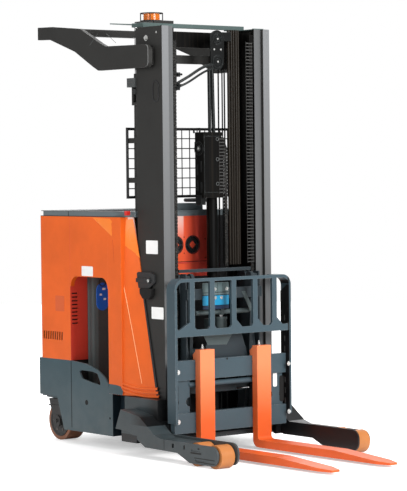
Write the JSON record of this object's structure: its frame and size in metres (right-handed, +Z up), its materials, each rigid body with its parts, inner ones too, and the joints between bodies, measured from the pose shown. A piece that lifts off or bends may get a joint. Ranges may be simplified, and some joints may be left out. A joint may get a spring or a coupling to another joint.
{
  "type": "stand-up pantograph reach truck",
  "caption": "Electric stand-up reach forklift: outrigger legs with load wheels, telescopic mast, scissor reach carriage with forks, open operator bay under an overhead guard",
  "frame": {"origin": "on the floor, under the middle of the truck's box with the mast and reach in", "axes": "+X forward to the fork tips, +Y to the operator's left, +Z up"},
  "size_m": [2.3643, 1.104, 2.506],
  "materials": {
    "orange_paint": "semi-gloss orange enamel",
    "skirt_paint": "semi-gloss blue-grey enamel",
    "leg_paint": "satin dark grey enamel",
    "mast_paint": "satin charcoal enamel",
    "rail_steel": "greased dark brown steel",
    "carriage_paint": "satin blue-grey enamel",
    "fork_paint": "light orange enamel",
    "cover_plastic": "moulded textured plastic",
    "pad_vinyl": "black grained vinyl",
    "mat_rubber": "ribbed black rubber",
    "battery_case": "black steel case",
    "load_tread": "amber cast polyurethane",
    "dark_steel": "black enamel",
    "bright_rod": "hard chrome",
    "amber_lens": "amber lens"
  },
  "bodies": {
    "chassis": {"chassis_frame": "skirt_paint", "deck_mat": "mat_rubber", "rear_housing": "orange_paint", "battery": "battery_case", "backrest_pad": "pad_vinyl", "side_panel": "orange_paint", "front_housing": "orange_paint", "top_cover": "cover_plastic", "console_hood": "cover_plastic", "outrigger_left": "leg_paint", "outrigger_right": "leg_paint", "leg_root_left": "leg_paint", "leg_root_right": "leg_paint", "mast_outer": "mast_paint", "lift_cylinders": "mast_paint", "overhead_guard": "mast_paint", "beacon_bracket": "mast_paint", "beacon": "amber_lens", "beacon_cage": "dark_steel", "wire_screen": "dark_steel"},
    "mast_middle": {"mast_middle": "rail_steel", "lift_rods": "bright_rod", "lift_chains": "rail_steel"},
    "mast_inner": {"mast_inner": "rail_steel", "free_lift_cylinder": "rail_steel", "free_chain_rear": "rail_steel"},
    "lift_head": {"lift_head": "rail_steel"},
    "lift_carriage": {"lift_carriage": "carriage_paint", "free_chain_front": "rail_steel"},
    "reach_arm_a": {"reach_arm_a": "carriage_paint"},
    "reach_arm_b": {"reach_arm_b": "carriage_paint"},
    "fork_frame": {"fork_frame": "carriage_paint"},
    "fork_carriage": {"fork_carriage": "carriage_paint", "load_backrest": "carriage_paint", "fork_left": "fork_paint", "fork_right": "fork_paint"},
    "drive_unit": {"drive_unit": "dark_steel"},
    "drive_wheel": {"drive_wheel": "load_tread"},
    "caster_fork": {"caster_fork": "dark_steel"},
    "caster_wheel": {"caster_wheel": "load_tread"},
    "steering_tiller": {"steering_tiller": "cover_plastic"},
    "load_wheel_front_left": {"load_wheel_front_left": "load_tread"},
    "load_wheel_front_right": {"load_wheel_front_right": "load_tread"},
    "load_wheel_rear_left": {"load_wheel_rear_left": "load_tread"},
    "load_wheel_rear_right": {"load_wheel_rear_right": "load_tread"}
  },
  "joints": [
    {"name": "mast_lift", "type": "slide", "parent": "chassis", "child": "mast_middle", "axis": [0, 0, 1], "range_m": [0, 1.7]},
    {"name": "mast_lift_inner", "type": "slide", "parent": "mast_middle", "child": "mast_inner", "axis": [0, 0, 1], "range_m": [0, 1.7], "deforming": ["lift_chains"]},
    {"name": "free_lift", "type": "slide", "parent": "mast_inner", "child": "lift_carriage", "axis": [0, 0, 1], "range_m": [0, 1], "deforming": ["free_chain_front"]},
    {"name": "free_lift_head", "type": "slide", "parent": "mast_inner", "child": "lift_head", "axis": [0, 0, 1], "range_m": [0, 0.5], "deforming": ["free_chain_rear"]},
    {"name": "reach", "type": "hinge", "parent": "lift_carriage", "child": "reach_arm_a", "pos_m": [-0.107, 0, 0.99], "axis": [0, -1, 0], "range_deg": [0, 48.1]},
    {"name": "reach_cross", "type": "hinge", "parent": "reach_arm_a", "child": "reach_arm_b", "pos_m": [-0.06258, 0, 0.56733], "axis": [0, 1, 0], "range_deg": [0, 96.2]},
    {"name": "reach_frame", "type": "hinge", "parent": "reach_arm_b", "child": "fork_frame", "pos_m": [-0.01815, 0, 0.99], "axis": [0, -1, 0], "range_deg": [0, 48.1]},
    {"name": "fork_tilt", "type": "hinge", "parent": "fork_frame", "child": "fork_carriage", "pos_m": [0.012, 0, 0.482], "axis": [0, 1, 0], "range_deg": [-4, 3]},
    {"name": "drive_steer", "type": "hinge", "parent": "chassis", "child": "drive_unit", "pos_m": [-1.012, 0.24, 0.397], "axis": [0, 0, 1], "range_deg": [-90, 90]},
    {"name": "drive_spin", "type": "hinge", "parent": "drive_unit", "child": "drive_wheel", "pos_m": [-1.012, 0.24, 0.165], "axis": [0, 1, 0], "continuous": true},
    {"name": "caster_swivel", "type": "hinge", "parent": "chassis", "child": "caster_fork", "pos_m": [-1.096, -0.345, 0.243], "axis": [0, 0, 1], "continuous": true},
    {"name": "caster_spin", "type": "hinge", "parent": "caster_fork", "child": "caster_wheel", "pos_m": [-1.062, -0.345, 0.115], "axis": [0, 1, 0], "continuous": true},
    {"name": "steer_tiller", "type": "hinge", "parent": "chassis", "child": "steering_tiller", "pos_m": [-0.452, 0.2, 1.4], "axis": [0, 0, 1], "range_deg": [-180, 180]},
    {"name": "load_wheel_front_left_spin", "type": "hinge", "parent": "chassis", "child": "load_wheel_front_left", "pos_m": [0.58, 0.491, 0.064], "axis": [0, 1, 0], "continuous": true},
    {"name": "load_wheel_front_right_spin", "type": "hinge", "parent": "chassis", "child": "load_wheel_front_right", "pos_m": [0.58, -0.491, 0.064], "axis": [0, 1, 0], "continuous": true},
    {"name": "load_wheel_rear_left_spin", "type": "hinge", "parent": "chassis", "child": "load_wheel_rear_left", "pos_m": [0.423, 0.491, 0.064], "axis": [0, 1, 0], "continuous": true},
    {"name": "load_wheel_rear_right_spin", "type": "hinge", "parent": "chassis", "child": "load_wheel_rear_right", "pos_m": [0.423, -0.491, 0.064], "axis": [0, 1, 0], "continuous": true}
  ],
  "couplings": [
    {"joint": "mast_lift_inner", "follows": "mast_lift", "ratio": 1},
    {"joint": "free_lift_head", "follows": "free_lift", "ratio": 0.5},
    {"joint": "reach_cross", "follows": "reach", "ratio": 2},
    {"joint": "reach_frame", "follows": "reach", "ratio": 1},
    {"joint": "steer_tiller", "follows": "drive_steer", "ratio": 2}
  ]
}
